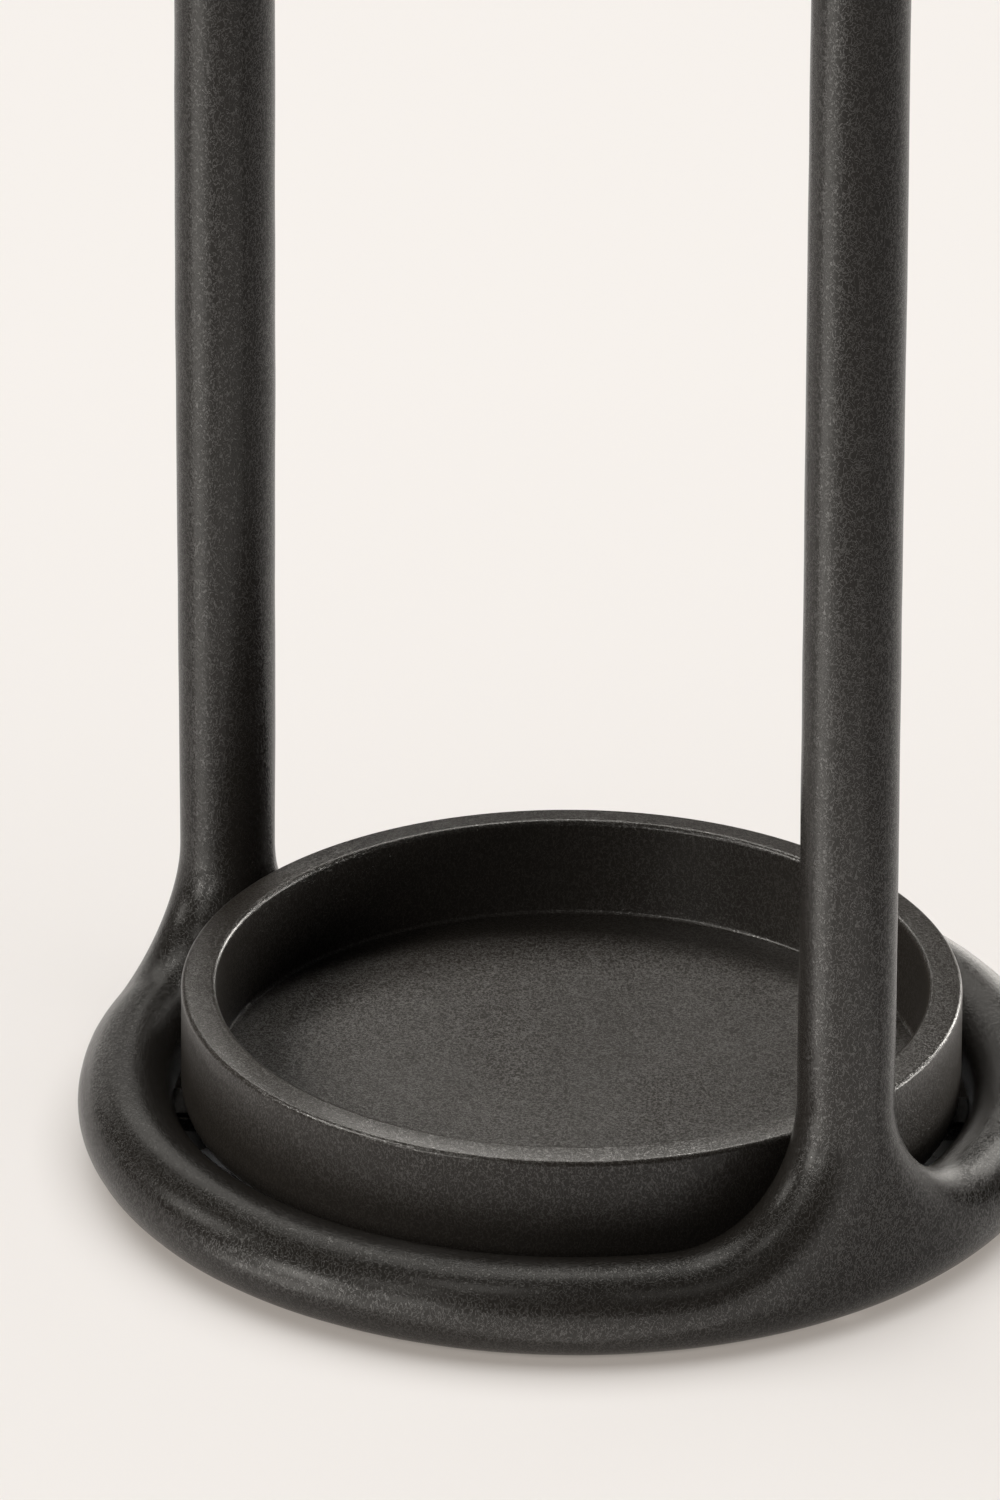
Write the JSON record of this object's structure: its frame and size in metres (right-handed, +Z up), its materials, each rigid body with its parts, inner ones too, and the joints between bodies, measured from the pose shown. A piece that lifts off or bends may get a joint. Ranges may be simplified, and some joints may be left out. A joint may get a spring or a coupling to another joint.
{
  "type": "umbrella stand",
  "caption": "Free-standing round umbrella stand: a base ring and a top ring of round section joined by flared uprights, with a thick-walled drip tray that lifts out.",
  "frame": {"origin": "on the floor under the common centre of both rings", "axes": "+Z up, +X towards the right upright, -Y the side to which the uprights stand off the diameter"},
  "size_m": [0.285, 0.285, 0.55],
  "materials": {
    "coated_iron": "black textured powder coat on cast iron",
    "coated_aluminium": "black textured powder coat on cast aluminium",
    "coated_steel": "black textured powder coat on steel tube",
    "tray_iron": "black matt textured coat on cast iron",
    "bright_steel": "zinc plated",
    "rubber": "moulded black rubber"
  },
  "bodies": {
    "frame": {"base_ring": "coated_iron", "top_ring": "coated_aluminium", "left_upright": "coated_steel", "lower_left_spigot": "bright_steel", "upper_left_spigot": "bright_steel", "left_tie_rod": "bright_steel", "left_tie_screw": "bright_steel", "left_washer": "bright_steel", "right_upright": "coated_steel", "lower_right_spigot": "bright_steel", "upper_right_spigot": "bright_steel", "right_tie_rod": "bright_steel", "right_tie_screw": "bright_steel", "right_washer": "bright_steel", "foot_1": "rubber", "tray_buffer_1": "rubber", "foot_2": "rubber", "tray_buffer_2": "rubber", "foot_3": "rubber", "tray_buffer_3": "rubber", "foot_4": "rubber", "tray_buffer_4": "rubber"},
    "tray": {"drip_tray": "tray_iron"}
  },
  "joints": [
    {"name": "tray_lift", "type": "slide", "parent": "frame", "child": "tray", "axis": [0, 0, 1], "range_m": [0, 0.54]}
  ]
}
